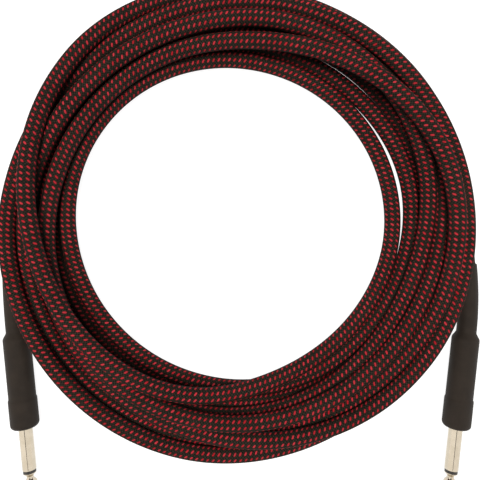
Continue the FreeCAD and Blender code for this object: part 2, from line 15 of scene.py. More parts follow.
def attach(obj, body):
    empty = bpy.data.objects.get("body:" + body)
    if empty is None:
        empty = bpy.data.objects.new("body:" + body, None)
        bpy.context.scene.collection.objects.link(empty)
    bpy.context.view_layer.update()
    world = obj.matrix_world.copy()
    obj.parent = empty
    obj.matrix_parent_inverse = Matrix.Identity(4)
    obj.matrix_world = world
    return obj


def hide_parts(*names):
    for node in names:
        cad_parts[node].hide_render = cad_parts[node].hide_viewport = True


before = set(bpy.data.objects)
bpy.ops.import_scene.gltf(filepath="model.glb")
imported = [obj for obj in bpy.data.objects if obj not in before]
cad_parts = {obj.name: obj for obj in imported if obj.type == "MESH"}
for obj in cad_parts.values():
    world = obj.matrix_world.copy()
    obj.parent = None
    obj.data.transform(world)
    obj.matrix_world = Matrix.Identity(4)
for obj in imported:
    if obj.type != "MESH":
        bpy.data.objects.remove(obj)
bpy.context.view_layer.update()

# Cable
# A copper screen and one conductor under a sleeve woven of black yarn, with a crimson yarn every few picks.
# It is one length of about five metres, coiled by hand and let down, so its turns pile up and cross, and
# both of its ends run into the narrow tail of a plug's boot.
CABLE_RADIUS = 0.0039
CABLE_SIDES = 24

# The boot lies on the surface, and the cable comes out of its tail's mouth
BOOT_RADIUS = 0.0066
TAIL_RADIUS = 0.00455
BOOT_LENGTH = 0.0439
SHOULDER = 0.003
TAIL_LENGTH = 0.033
MOUTH = -SHOULDER - TAIL_LENGTH

# Each plug: the rear of its boot, how many degrees it leans inwards, its tail's bend in degrees, and its
# side of the coil
PLUGS = {"right": (0.1142, -0.0568, 6.2, 12.0, 1), "left": (-0.1051, -0.0567, 5.6, 5.0, -1)}


def plug_place(side):
    """The frame of a plug: x runs forwards along it, and its tail bends away from y."""
    x, y, lean, bend, out = PLUGS[side]
    ahead = Vector((-out * math.sin(math.radians(lean)), -math.cos(math.radians(lean)), 0))
    up = Vector((0, 0, out))
    turn = Matrix((ahead, up.cross(ahead), up)).transposed()
    return Matrix.Translation((x, y, BOOT_RADIUS)) @ turn.to_4x4()


def plug_axis(side, along):
    """The axis of a plug at a place along it: the point, the way forwards and the way across."""
    place = plug_place(side)
    turn = place.to_3x3()
    if along >= -SHOULDER:
        return place @ Vector((along, 0, 0)), turn @ Vector((1, 0, 0)), turn @ Vector((0, 1, 0))
    radius = TAIL_LENGTH / math.radians(PLUGS[side][3])
    bent = (-SHOULDER - along) / radius
    spot = Vector((-SHOULDER - radius * math.sin(bent), -radius * (1 - math.cos(bent)), 0))
    forwards = Vector((math.cos(bent), math.sin(bent), 0))
    return place @ spot, turn @ forwards, turn @ Vector((-forwards.y, forwards.x, 0))


# The coil at every quarter turn from the right plug on, and at three angles between: its radius, its height
# over the lowest turns, and how far it drifts outwards and climbs in a quarter turn there
BETWEEN = {
    20.0: (0.109, 0, 0.006, 0),
    757.0: (0.0873, 0.0008, -0.007, -0.001),
    1117.0: (0.0951, 0, -0.004, 0),
}
QUARTERS = (
    (0.106, 0.003, 0.009, 0.007), (0.088, 0.023, -0.014, -0.008), (0.0815, 0.012, -0.018, -0.031),
    (0.0811, 0, 0, 0), (0.0817, 0.001, 0.004, 0.003), (0.0808, 0.004, -0.004, -0.005),
    (0.083, 0, 0.010, 0), (0.0883, 0.001, 0.010, 0), (0.0870, 0, 0.004, 0),
    (0.087, 0, 0.001, 0), (0.0892, 0, 0.005, 0), (0.0958, 0, 0.003, 0),
    (0.0935, 0, 0.001, -0.001), (0.0955, 0, 0, -0.001), (0.093, 0.008, 0, 0.005),
    (0.0945, 0.009, 0.017, 0.010), (0.0935, 0.017, -0.014, 0.001), (0.097, 0.013, 0.019, -0.021),
    (0.108, 0.002, -0.018, 0.014), (0.103, 0.019, -0.011, 0.026), (0.084, 0.013, 0.002, -0.017),
    (0.087, 0.012, 0.013, -0.001), (0.095, 0.016, 0.003, 0.003), (0.1025, 0.009, 0.015, -0.002),
    (0.099, 0.009, -0.015, 0.002), (0.0945, 0.008, -0.003, 0.003), (0.099, 0.012, 0.019, -0.003),
    (0.1055, 0.010, -0.009, 0.006), (0.0995, 0.009, -0.008, -0.004), (0.099, 0.012, 0.004, 0.011),
    (0.1105, 0.002, 0.001, -0.004), (0.107, 0, -0.006, 0), (0.1055, 0, 0.002, 0),
)


def out_of_tail(side):
    """The point one cable diameter out of a plug's tail, as an angle and a reading of its own."""
    spot, forwards, across = plug_axis(side, MOUTH)
    spot = spot - forwards * (2 * CABLE_RADIUS)
    angle = math.atan2(spot.y, spot.x)
    outwards = Vector((math.cos(angle), math.sin(angle), 0))
    round_it = Vector((-outwards.y, outwards.x, 0))
    radius = spot.dot(outwards)
    drift = forwards.dot(outwards) / forwards.dot(round_it) * radius * math.pi / 2
    return spot, math.degrees(angle), (radius, spot.z - CABLE_RADIUS, drift, 0)


def as_read(angle, angles, rows):
    """Radius and height between two readings, eased from the one to the other."""
    k = max(i for i in range(len(angles) - 1) if angles[i] <= angle)
    span = angles[k + 1] - angles[k]
    u = (angle - angles[k]) / span
    here, there = 1 - 3 * u**2 + 2 * u**3, 3 * u**2 - 2 * u**3
    leaving, coming = u - 2 * u**2 + u**3, u**3 - u**2
    (r0, z0, drift0, climb0), (r1, z1, drift1, climb1) = rows[k], rows[k + 1]
    share = span / 90
    radius = here * r0 + there * r1 + (leaving * drift0 + coming * drift1) * share
    return radius, CABLE_RADIUS + here * z0 + there * z1 + (leaving * climb0 + coming * climb1) * share


# The route has a point every ten degrees. Each boot lies under those turns that come within a share of a
# step of it, and the first and last points of the coil stay as many steps away from the tails.
STEP = 10.0
BOOT_LOOKS = 160
BOOT_REACH = 0.3
TAIL_CLEARANCE = 0.7


def boots_below(turn):
    """Where round the coil the boots lie: the radius of their axis there, and how far off a turn stays."""
    axis = np.full(turn, np.nan)
    keep = np.zeros(turn)
    nearest = np.full(turn, BOOT_REACH)
    for side in PLUGS:
        for along in np.linspace(MOUTH, BOOT_LENGTH, BOOT_LOOKS):
            spot = plug_axis(side, along)[0]
            place = math.degrees(math.atan2(spot.y, spot.x)) / STEP
            off = abs(place - round(place))
            slot = round(place) % turn
            if off < nearest[slot]:
                nearest[slot] = off
                axis[slot] = math.hypot(spot.x, spot.y)
                keep[slot] = (BOOT_RADIUS if along > -SHOULDER else TAIL_RADIUS) + CABLE_RADIUS
    return axis, keep


def eased(amounts, share):
    """Even a movement out along the cable, as its stiffness does."""
    spread = np.convolve(np.pad(amounts, 2, mode="edge"), np.array((1, 2, 3, 2, 1)) / 9, mode="valid")
    return amounts + share * (spread - amounts)


# How the turns settle: in how many rounds, how far each moves past what it is pushed, how strongly it is
# held where it was read and how that hold fades, and the cable's stiffness, which gives way in the end
ROUNDS = 500
PUSH = 1.2
HOLD = 0.02
HOLD_LEFT = 0.985
STIFFNESS = 0.12
LAST_STIFFNESS = 0.02
STIFF_ROUNDS = 420


def laid_turns():
    """Angles, radii and heights of the turns: as read, then pushed apart where two lie in each other."""
    first, start, start_row = out_of_tail("right")
    last, finish, finish_row = out_of_tail("left")
    end = 360.0 * (len(QUARTERS) // 4) + finish % 360
    readings = {start: start_row, end: finish_row, **BETWEEN}
    readings.update((90.0 * (k + 1), row) for k, row in enumerate(QUARTERS))
    angles = sorted(readings)
    rows = [readings[a] for a in angles]
    grid = np.arange(STEP * math.ceil(start / STEP + TAIL_CLEARANCE), end - TAIL_CLEARANCE * STEP, STEP)
    read = np.array([as_read(a, angles, rows) for a in grid])
    turn = round(360 / STEP)
    spacing = 2 * CABLE_RADIUS
    slots = np.round(grid / STEP).astype(int) % turn
    boot_axis, boot_keep = boots_below(turn)
    by_boot = ~np.isnan(boot_axis[slots]) & (grid > 90) & (grid < end - 2 * STEP)
    moved = np.zeros_like(read)
    hold = HOLD
    for round_number in range(ROUNDS):
        radius, height = (read + moved).T
        run = radius * math.radians(STEP)
        slopes = np.gradient(radius) / run, np.gradient(height) / run
        push = np.zeros_like(read)
        touching = np.zeros(len(grid))
        for apart_turns in range(1, len(grid) // turn + 1):
            low = np.arange(len(grid) - apart_turns * turn)
            high = low + apart_turns * turn
            dr, dz = radius[high] - radius[low], height[high] - height[low]
            apart = np.maximum(np.hypot(dr, dz), 1e-6)
            slant = (slopes[0][low] + slopes[0][high]) * dr + (slopes[1][low] + slopes[1][high]) * dz
            slant = slant / (2 * apart)
            short = np.maximum(spacing - apart / np.sqrt(1 + slant**2), 0)
            away = np.stack((dr, dz), 1) * (short / (2 * apart))[:, None]
            np.add.at(push, high, away)
            np.add.at(push, low, -away)
            np.add.at(touching, high, short > 0)
            np.add.at(touching, low, short > 0)
        dr, dz = radius - boot_axis[slots], height - BOOT_RADIUS
        apart = np.hypot(dr, dz)
        inside = by_boot & (apart < boot_keep[slots])
        lift = (boot_keep[slots][inside] / apart[inside] - 1)[:, None]
        push[inside] += np.stack((dr[inside], dz[inside]), 1) * lift
        below = np.maximum(CABLE_RADIUS - height, 0)
        push[:, 1] += below
        touching += inside + (below > 0)
        moved += PUSH * push / np.maximum(touching, 1)[:, None]
        moved *= 1 - hold
        stiffness = STIFFNESS if round_number < STIFF_ROUNDS else LAST_STIFFNESS
        moved = np.stack([eased(m, stiffness) for m in moved.T], 1)
        hold *= HOLD_LEFT
    return first, last, grid, read + moved


def cable_route():
    """The points of the cable's line: straight out of one tail, round the coil and into the other."""
    first, last, grid, turns = laid_turns()
    points = [plug_axis("right", MOUTH)[0], first]
    for angle, (radius, height) in zip(np.radians(grid), turns):
        out = radius / math.cos(math.radians(STEP / 2))
        points.append(Vector((out * math.cos(angle), out * math.sin(angle), height)))
    return points + [last, plug_axis("left", MOUTH)[0]]


def smooth_line(name, points):
    """A NURBS line on its points as control points, as a mesh of short straight pieces."""
    curve = bpy.data.curves.new(name, "CURVE")
    curve.dimensions = "3D"
    spline = curve.splines.new("NURBS")
    spline.points.add(len(points) - 1)
    for place, spot in zip(spline.points, points):
        place.co = (*spot, 1)
    spline.order_u = 3
    spline.use_endpoint_u = True
    spline.resolution_u = 8
    line = bpy.data.objects.new(name, curve)
    bpy.context.scene.collection.objects.link(line)
    bpy.context.view_layer.update()
    mesh = bpy.data.meshes.new_from_object(line)
    bpy.data.objects.remove(line)
    return mesh


def wired(made, inputs):
    """Set each input of a node, by name or number, to a value, an output or a node's first output."""
    in_use = [socket for socket in made.inputs if socket.enabled]
    for key, value in inputs.items():
        socket = in_use[key] if isinstance(key, int) else next(s for s in in_use if s.name == key)
        if isinstance(value, bpy.types.Node):
            value = next(s for s in value.outputs if s.enabled)
        if isinstance(value, bpy.types.NodeSocket):
            made.id_data.links.new(value, socket)
        else:
            socket.default_value = value


def node(tree, kind, inputs, **settings):
    """A new node with its settings and its inputs."""
    made = tree.nodes.new(kind)
    for name, value in settings.items():
        setattr(made, name, value)
    wired(made, inputs)
    return made


def sleeve_tree():
    """A tube along a line, whose UV map is the metres along it and the share of the way round it."""
    tree = bpy.data.node_groups.new("woven_sleeve_along_a_line", "GeometryNodeTree")
    for name, kind in (("Line", "Geometry"), ("Radius", "Float"), ("Sides", "Int"), ("Finish", "Material")):
        tree.interface.new_socket(name, in_out="INPUT", socket_type="NodeSocket" + kind)
    tree.interface.new_socket("Tube", in_out="OUTPUT", socket_type="NodeSocketGeometry")
    given = node(tree, "NodeGroupInput", {}).outputs
    place = node(tree, "GeometryNodeSplineParameter", {}).outputs
    line = node(tree, "GeometryNodeMeshToCurve", {"Mesh": given["Line"]})
    ring = node(tree, "GeometryNodeCurvePrimitiveCircle",
                {"Resolution": given["Sides"], "Radius": given["Radius"]})
    carried = []
    for shape, value in ((line, place["Length"]), (ring, place["Factor"])):
        keeper = node(tree, "GeometryNodeCaptureAttribute", {"Geometry": shape})
        keeper.capture_items.new("FLOAT", "place")
        wired(keeper, {"place": value})
        carried.append(keeper.outputs)
    (line, along), (ring, around) = ((kept["Geometry"], kept["place"]) for kept in carried)
    tube = node(tree, "GeometryNodeCurveToMesh", {"Curve": line, "Profile Curve": ring, "Fill Caps": True})
    # The face that closes each ring ends where the ring began, so its far corners count a full turn more
    face = node(tree, "GeometryNodeFieldOnDomain", {"Value": around}, domain="FACE", data_type="FLOAT")
    behind = node(tree, "ShaderNodeMath", {0: face, 1: around}, operation="SUBTRACT")
    closing = node(tree, "ShaderNodeMath", {0: behind, 1: 0.25}, operation="GREATER_THAN")
    turn = node(tree, "ShaderNodeMath", {0: around, 1: closing}, operation="ADD")
    spot = node(tree, "ShaderNodeCombineXYZ", {"X": along, "Y": turn})
    mapped = node(tree, "GeometryNodeStoreNamedAttribute",
                  {"Geometry": tube, "Name": "UVMap", "Value": spot}, data_type="FLOAT2", domain="CORNER")
    smooth = node(tree, "GeometryNodeSetShadeSmooth", {"Geometry": mapped})
    real = node(tree, "GeometryNodeRealizeInstances", {"Geometry": smooth})
    done = node(tree, "GeometryNodeSetMaterial", {"Geometry": real, "Material": given["Finish"]})
    node(tree, "NodeGroupOutput", {"Tube": done})
    return tree


def made_by(tree, name, mesh, **inputs):
    """The plain mesh that a geometry tree makes from a mesh, as an object of its own."""
    source = bpy.data.objects.new(name + "_line", mesh)
    bpy.context.scene.collection.objects.link(source)
    modifier = source.modifiers.new(name, "NODES")
    modifier.node_group = tree
    for socket in tree.interface.items_tree:
        if socket.name in inputs:
            modifier[socket.identifier] = inputs[socket.name]
    shown = source.evaluated_get(bpy.context.evaluated_depsgraph_get())
    made = bpy.data.objects.new(name, bpy.data.meshes.new_from_object(shown))
    bpy.context.scene.collection.objects.link(made)
    bpy.data.objects.remove(source)
    return made


def colour(words):
    """A colour as the eye reads it on a screen, #rrggbb, as the light it gives back."""
    shares = [int(words[i:i + 2], 16) / 255 for i in (1, 3, 5)]
    return [c / 12.92 if c <= 0.04045 else ((c + 0.055) / 1.055) ** 2.4 for c in shares] + [1.0]


def finish(name, **looks):
    """A new material: its tree and its surface, with what is the same all over set on the surface."""
    material = bpy.data.materials.new(name)
    material.use_nodes = True
    surface = material.node_tree.nodes["Principled BSDF"]
    for socket, value in looks.items():
        surface.inputs[socket.replace("_", " ")].default_value = value
    return material, material.node_tree, surface


# The weave's repeat along the cable, its rows round it, and one crimson and one black yarn where they show
REPEAT = 2.59
ROWS = 8
ROW = 2 * math.pi * CABLE_RADIUS * 1000 / ROWS
YARN_LEAN = 57.0
CRIMSON_LENGTH = 2.1
CRIMSON_WIDTH = 1.05
BLACK_LENGTH = 1.15
BLACK_WIDTH = 0.8
# Real hairs are a fiftieth of a millimetre. They are drawn as half-millimetre wisps, which is what shows.
HAIR = 0.53
WORN_PATCH = 22.0


def yarn(tree, along, around, shift, lean, length, width, times=1):
    """How high each yarn of one kind stands where it comes up, from 0 beside it to 1 on its back."""
    spots = []
    for place, repeat in ((along, REPEAT), (around, ROW)):
        moved = node(tree, "ShaderNodeMath", {0: place, 1: times, 2: shift}, operation="MULTIPLY_ADD")
        share = node(tree, "ShaderNodeMath", {0: moved}, operation="FRACT")
        off = node(tree, "ShaderNodeMath", {0: share, 1: 0.5}, operation="SUBTRACT")
        spots.append(node(tree, "ShaderNodeMath", {0: off, 1: repeat / times}, operation="MULTIPLY"))
    c, s = math.cos(math.radians(lean)), math.sin(math.radians(lean))
    falls = []
    for by_along, by_round, half, steepness in ((c, -s, length / 2, 3.0), (s, c, width / 2, 2.2)):
        part = node(tree, "ShaderNodeMath", {0: spots[1], 1: by_round}, operation="MULTIPLY")
        turned = node(tree, "ShaderNodeMath", {0: spots[0], 1: by_along, 2: part}, operation="MULTIPLY_ADD")
        share = node(tree, "ShaderNodeMath", {0: turned, 1: half}, operation="DIVIDE")
        share = node(tree, "ShaderNodeMath", {0: share}, operation="ABSOLUTE")
        falls.append(node(tree, "ShaderNodeMath", {0: share, 1: steepness}, operation="POWER"))
    fall = node(tree, "ShaderNodeMath", {0: falls[0], 1: falls[1]}, operation="ADD")
    return node(tree, "ShaderNodeMath", {0: 1.0, 1: fall}, operation="SUBTRACT", use_clamp=True)


def woven_jacket():
    """Black and crimson yarn, dull and a little hairy. The crimson picks all lean one way. The shade between
    the yarns and at the crimson yarn's edges is painted into the colour.
    """
    material, tree, surface = finish("woven_yarn_jacket", Roughness=0.8, Specular_IOR_Level=0.07)
    uv = node(tree, "ShaderNodeUVMap", {}, uv_map="UVMap")
    place = node(tree, "ShaderNodeSeparateXYZ", {0: uv})
    along = node(tree, "ShaderNodeMath", {0: place.outputs["X"], 1: 1000 / REPEAT}, operation="MULTIPLY")
    around = node(tree, "ShaderNodeMath", {0: place.outputs["Y"], 1: ROWS}, operation="MULTIPLY")
    crimson = yarn(tree, along, around, 0, YARN_LEAN, CRIMSON_LENGTH, CRIMSON_WIDTH)
    one_way = yarn(tree, along, around, 0, YARN_LEAN, BLACK_LENGTH, BLACK_WIDTH, times=2)
    other_way = yarn(tree, along, around, 0.5, -YARN_LEAN, BLACK_LENGTH, BLACK_WIDTH, times=2)
    black = node(tree, "ShaderNodeMath", {0: one_way, 1: other_way}, operation="MAXIMUM")
    pick = node(tree, "ShaderNodeMath", {0: along}, operation="FLOOR")
    row = node(tree, "ShaderNodeMath", {0: around}, operation="FLOOR")
    cell = node(tree, "ShaderNodeCombineXYZ", {"X": pick, "Y": row})
    chance = node(tree, "ShaderNodeTexWhiteNoise", {"Vector": cell}, noise_dimensions="2D")
    spot = node(tree, "ShaderNodeTexCoord", {}).outputs["Object"]
    hair = node(tree, "ShaderNodeTexNoise", {"Vector": spot, "Scale": 1000 / HAIR, "Detail": 2.0})
    worn = node(tree, "ShaderNodeTexNoise", {"Vector": spot, "Scale": 1000 / WORN_PATCH, "Detail": 1.0})
    unshaded_crimson_share = node(tree, "ShaderNodeMapRange", {"Value": crimson, "From Min": 0.0, "From Max": 0.75},
                   interpolation_type="SMOOTHSTEP")
    where_worn = node(tree, "ShaderNodeMapRange", {"Value": worn, "From Min": 0.35, "From Max": 0.65},
                      interpolation_type="SMOOTHSTEP")
    where_hairy = node(tree, "ShaderNodeMapRange", {"Value": hair, "From Min": 0.4, "From Max": 0.7},
                       interpolation_type="SMOOTHSTEP")
    on_black = node(tree, "ShaderNodeMapRange", {"Value": black, "From Min": 0.0, "From Max": 0.5},
                    interpolation_type="SMOOTHSTEP")
    on_crimson = node(tree, "ShaderNodeMapRange", {"Value": crimson, "From Min": 0.02, "From Max": 0.3},
                      interpolation_type="SMOOTHSTEP")
    red = node(tree, "ShaderNodeMix", {"Factor": chance, "A": colour("#961a22"), "B": colour("#b1323b")},
               data_type="RGBA")
    # Painted shade: the crimson yarn is painted darker where it sinks between the black yarns, not dyed
    # darker there.
    red = node(tree, "ShaderNodeMix", {"Factor": unshaded_crimson_share, "A": colour("#54100f"), "B": red},
               data_type="RGBA")
    dark = node(tree, "ShaderNodeMix",
                {"Factor": where_worn, "A": colour("#211d18"), "B": colour("#28241e")}, data_type="RGBA")
    dark = node(tree, "ShaderNodeMix", {"Factor": where_hairy, "A": dark, "B": colour("#322d26")},
                data_type="RGBA")
    # Painted shade: where no yarn stands up, in the gaps between the yarns, the weave is painted near-black.
    black_with_gap_shade = node(tree, "ShaderNodeMix", {"Factor": on_black, "A": colour("#100d0a"), "B": dark},
                  data_type="RGBA")
    shade = node(tree, "ShaderNodeMix", {"Factor": on_crimson, "A": black_with_gap_shade, "B": red}, data_type="RGBA")
    low_black = node(tree, "ShaderNodeMath", {0: black, 1: 0.8}, operation="MULTIPLY")
    back = node(tree, "ShaderNodeMath", {0: crimson, 1: low_black}, operation="MAXIMUM")
    height = node(tree, "ShaderNodeMath", {0: hair, 1: 0.25, 2: back}, operation="MULTIPLY_ADD")
    bump = node(tree, "ShaderNodeBump", {"Height": height, "Strength": 0.55, "Distance": 0.00022})
    wired(surface, {"Base Color": shade, "Normal": bump})
    return material


jacket_yarn = woven_jacket()
route_line = smooth_line("cable_line", cable_route())
cable = made_by(sleeve_tree(), "cable", route_line,
                Radius=CABLE_RADIUS, Sides=CABLE_SIDES, Finish=jacket_yarn)
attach(cable, "root")
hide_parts("cable_coil")

# Plug's turned parts
# Each is turned from brass bar and nickel plated, but for the black moulded ring that keeps tip and shaft
# apart. The tip's long rod runs back through the shaft and is riveted over behind the lugs.
SHAFT_RADIUS = 0.003175
SHAFT_BORE = 0.0022
THREAD_RADIUS = 0.00505
THREAD_REAR = 0.0331
COLLAR_RADIUS = 0.0054
COLLAR_REAR = 0.0411
COLLAR_FRONT = 0.0427
NECK_RADIUS = 0.0035
RING_RADIUS = 0.0030
RING_BORE = 0.00125
RING_REAR = 0.0645
TIP_REAR = 0.0659
ROD_RADIUS = 0.0012
RIVET_RADIUS = 0.0019
RIVET_REAR = 0.0301
RIVET_FRONT = 0.0309
TURNED_SIDES = 96

# Outlines of the tip, the ring and the shaft, each from its rear end forwards, and how far edges are eased
TIP = ((RIVET_REAR, 0), (RIVET_REAR, RIVET_RADIUS), (RIVET_FRONT, RIVET_RADIUS), (RIVET_FRONT, ROD_RADIUS),
       (TIP_REAR, ROD_RADIUS), (TIP_REAR, RING_RADIUS), (0.0662, RING_RADIUS), (0.0671, 0.00205),
       (0.0677, 0.0017), (0.0683, 0.0016), (0.0689, 0.00185), (0.0697, 0.00255), (0.0703, 0.00293),
       (0.0707, 0.0030), (0.0711, 0.00293), (0.0717, 0.00262), (0.0731, 0.0018), (0.0743, 0.00112),
       (0.0749, 0.0007), (0.0751, 0.00028), (0.0751, 0))
RING = ((RING_REAR, RING_BORE), (TIP_REAR, RING_BORE), (TIP_REAR, RING_RADIUS), (RING_REAR, RING_RADIUS))
SHAFT = ((THREAD_REAR, SHAFT_BORE), (RING_REAR, SHAFT_BORE), (RING_REAR, SHAFT_RADIUS),
         (BOOT_LENGTH, SHAFT_RADIUS), (BOOT_LENGTH, NECK_RADIUS), (COLLAR_FRONT, NECK_RADIUS),
         (COLLAR_FRONT, COLLAR_RADIUS), (COLLAR_REAR, COLLAR_RADIUS), (COLLAR_REAR, THREAD_RADIUS),
         (THREAD_REAR, THREAD_RADIUS))
TIP_EDGE = 0.00006
RING_EDGE = 0.0001
SHAFT_EDGE = 0.00018


def rounded(outline, edge):
    """An outline of (along, out) places with its corners eased off, except where it meets the axis.

    A long side gets one more place near each end, so the shading of the corner stays at the corner.
    """
    spots = []
    for i, (along, out) in enumerate(outline):
        here = Vector((along, out))
        if out == 0:
            spots.append(here)
            continue
        before = Vector(outline[i - 1]) - here
        after = Vector(outline[(i + 1) % len(outline)]) - here
        a = here + before.normalized() * min(edge, 0.4 * before.length)
        b = here + after.normalized() * min(edge, 0.4 * after.length)
        if before.length > 12 * edge:
            spots.append(here + before.normalized() * 4 * edge)
        spots += [a, (a + b) / 4 + here / 2, b]
        if after.length > 12 * edge:
            spots.append(here + after.normalized() * 4 * edge)
    return spots


def turned(name, side, outline, sides, material):
    """A closed piece turned about a plug's axis. Its UV: metres along its outline, and the share round."""
    closed = outline[0][1] > 0
    count = len(outline)
    spots, first = [], []
    for along, out in outline:
        centre, forwards, across = plug_axis(side, along)
        up = forwards.cross(across)
        first.append(len(spots))
        for j in range(sides if out > 0 else 1):
            a = 2 * math.pi * j / sides
            spots.append(centre + (across * math.cos(a) + up * math.sin(a)) * out)
    faces, places = [], []
    run = 0.0
    for i in range(count if closed else count - 1):
        k = (i + 1) % count
        further = run + (Vector(outline[k]) - Vector(outline[i])).length
        for j in range(sides):
            corners = {}
            for ring, step, length in ((i, j, run), (k, j, further), (k, j + 1, further), (i, j + 1, run)):
                at = first[ring] + (step % sides if outline[ring][1] > 0 else 0)
                corners.setdefault(at, (length, step / sides))
            faces.append(list(corners))
            places += corners.values()
        run = further
    mesh = bpy.data.meshes.new(name)
    mesh.from_pydata(spots, [], faces)
    mesh.uv_layers.new(name="UVMap").data.foreach_set("uv", np.array(places, np.float32).ravel())
    work = bmesh.new()
    work.from_mesh(mesh)
    bmesh.ops.recalc_face_normals(work, faces=work.faces)
    work.to_mesh(mesh)
    work.free()
    mesh.shade_smooth()
    mesh.set_sharp_from_angle(angle=math.radians(32))
    mesh.materials.append(material)
    made = bpy.data.objects.new(name, mesh)
    bpy.context.scene.collection.objects.link(made)
    return made


# The lathe's feed leaves a ring every 0.05 mm, drawn four times as wide so that it shows in the shine. The
# rings run round the piece, so their pattern hardly changes that way.
TOOL_RING = 0.19
TOOL_RING_ROUND = 0.0004
RUBBED_PATCH = 3.8


def nickel_plate():
    """Bright nickel, a little warm, with the fine rings of the turning tool and a few rubbed places."""
    material, tree, surface = finish("nickel_plated_brass", Metallic=1.0)
    uv = node(tree, "ShaderNodeUVMap", {}, uv_map="UVMap")
    along = node(tree, "ShaderNodeMapping", {"Vector": uv, "Scale": (1.0, TOOL_RING_ROUND, 0.0)})
    rings = node(tree, "ShaderNodeTexNoise", {"Vector": along, "Scale": 1000 / TOOL_RING, "Detail": 2.0})
    spot = node(tree, "ShaderNodeTexCoord", {}).outputs["Object"]
    rubbed = node(tree, "ShaderNodeTexNoise", {"Vector": spot, "Scale": 1000 / RUBBED_PATCH, "Detail": 3.0})
    share = node(tree, "ShaderNodeMapRange", {"Value": rubbed, "From Min": 0.35, "From Max": 0.7},
                 interpolation_type="SMOOTHSTEP")
    shade = node(tree, "ShaderNodeMix", {"Factor": share, "A": colour("#c9bfae"), "B": colour("#c0b6a4")},
                 data_type="RGBA")
    rough = node(tree, "ShaderNodeMath", {0: rubbed, 1: 0.08, 2: 0.09}, operation="MULTIPLY_ADD")
    bump = node(tree, "ShaderNodeBump", {"Height": rings, "Strength": 0.12, "Distance": 0.00003})
    wired(surface, {"Base Color": shade, "Roughness": rough, "Normal": bump})
    return material


# Where the plastic flowed into its mould
FLOW_MARK = 1.1


def ring_plastic():
    """Black acetal, smooth from the mould, with a low gloss."""
    material, tree, surface = finish("black_acetal", Roughness=0.38)
    spot = node(tree, "ShaderNodeTexCoord", {}).outputs["Object"]
    flow = node(tree, "ShaderNodeTexNoise", {"Vector": spot, "Scale": 1000 / FLOW_MARK, "Detail": 2.0})
    shade = node(tree, "ShaderNodeMix", {"Factor": flow, "A": colour("#151310"), "B": colour("#231f1b")},
                 data_type="RGBA")
    bump = node(tree, "ShaderNodeBump", {"Height": flow, "Strength": 0.15, "Distance": 0.00005})
    wired(surface, {"Base Color": shade, "Normal": bump})
    return material


nickel = nickel_plate()
acetal = ring_plastic()
for part, outline, edge, material, slot in (
        ("tip_contact", TIP, TIP_EDGE, nickel, "contact"),
        ("insulator_ring", RING, RING_EDGE, acetal, "ring"),
        ("shaft", SHAFT, SHAFT_EDGE, nickel, "contact")):
    for side in PLUGS:
        piece = turned("%s_turned_%s" % (side, part), side, rounded(outline, edge), TURNED_SIDES, material)
        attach(piece, "root")
        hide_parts("%s_%s" % (side, part))

# Stripped cable end
# Inside each plug the woven jacket is cut back, the copper screen is gathered into a pigtail, and the white
# core is cut back again from the copper conductor.
JACKET_END = 0.017
STRIP_REAR = 0.009
JACKET_BORE = 0.00205
TAIL_STEPS = 12
TAIL_STEP = 0.003

# Along the bent tail the jacket has a ring every few millimetres, so that it bends with it
JACKET = ((MOUTH, 0), *((MOUTH + TAIL_STEP * i, CABLE_RADIUS) for i in range(TAIL_STEPS)),
          (0.0, CABLE_RADIUS), (JACKET_END, CABLE_RADIUS), (JACKET_END, JACKET_BORE),
          (STRIP_REAR, JACKET_BORE), (STRIP_REAR, 0))

# A copper strand and a foam cell are about a tenth of a millimetre. Both are drawn coarser, so that they
# show. At a scale of 1, a wave texture has a band every WAVE_BAND.
STRAND = 0.35
STRAND_TURN = 0.5
FOAM_CLOUD = 0.67
WAVE_BAND = 2 * math.pi / 20


def copper_wire():
    """Bare copper strands, laid side by side and a little dulled by the air, with painted shade in the
    grooves between them.
    """
    material, tree, surface = finish("bare_copper_strands", Metallic=1.0, Roughness=0.34)
    spot = node(tree, "ShaderNodeTexCoord", {}).outputs["Object"]
    lay = node(tree, "ShaderNodeMapping", {"Vector": spot, "Rotation": (0.0, 0.0, STRAND_TURN)})
    wave = node(tree, "ShaderNodeTexWave",
                {"Vector": lay, "Scale": 1000 * WAVE_BAND / STRAND, "Distortion": 1.5}, bands_direction="X")
    strands = wave.outputs["Fac"]
    # Painted shade: the grooves between the strands are painted dark; the lighter colour is the copper's
    # own.
    shade = node(tree, "ShaderNodeMix", {"Factor": strands, "A": colour("#7d4526"), "B": colour("#d0875a")},
                 data_type="RGBA")
    bump = node(tree, "ShaderNodeBump", {"Height": strands, "Strength": 0.5, "Distance": 0.0001})
    wired(surface, {"Base Color": shade, "Normal": bump})
    return material


def core_plastic():
    """Foamed white polyethylene, matt and slightly see-through, with the grain of its cells."""
    material, tree, surface = finish("foamed_white_polyethylene", Roughness=0.55, Subsurface_Weight=0.2,
                                     Subsurface_Scale=0.001)
    spot = node(tree, "ShaderNodeTexCoord", {}).outputs["Object"]
    foam = node(tree, "ShaderNodeTexNoise", {"Vector": spot, "Scale": 1000 / FOAM_CLOUD, "Detail": 2.0})
    shade = node(tree, "ShaderNodeMix", {"Factor": foam, "A": colour("#cfcabc"), "B": colour("#efebe0")},
                 data_type="RGBA")
    bump = node(tree, "ShaderNodeBump", {"Height": foam, "Strength": 0.2, "Distance": 0.00005})
    wired(surface, {"Base Color": shade, "Normal": bump})
    return material


def dressed(part, material):
    """Give a node of each plug its material."""
    for side in PLUGS:
        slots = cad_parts["%s_%s" % (side, part)].data.materials
        slots.clear()
        slots.append(material)


for side in PLUGS:
    jacket_end = turned(side + "_woven_jacket_end", side, JACKET, CABLE_SIDES, jacket_yarn)
    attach(jacket_end, "root")
    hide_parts(side + "_jacket_end")
copper = copper_wire()
dressed("shield_braid", copper)
dressed("conductor", copper)
dressed("core", core_plastic())

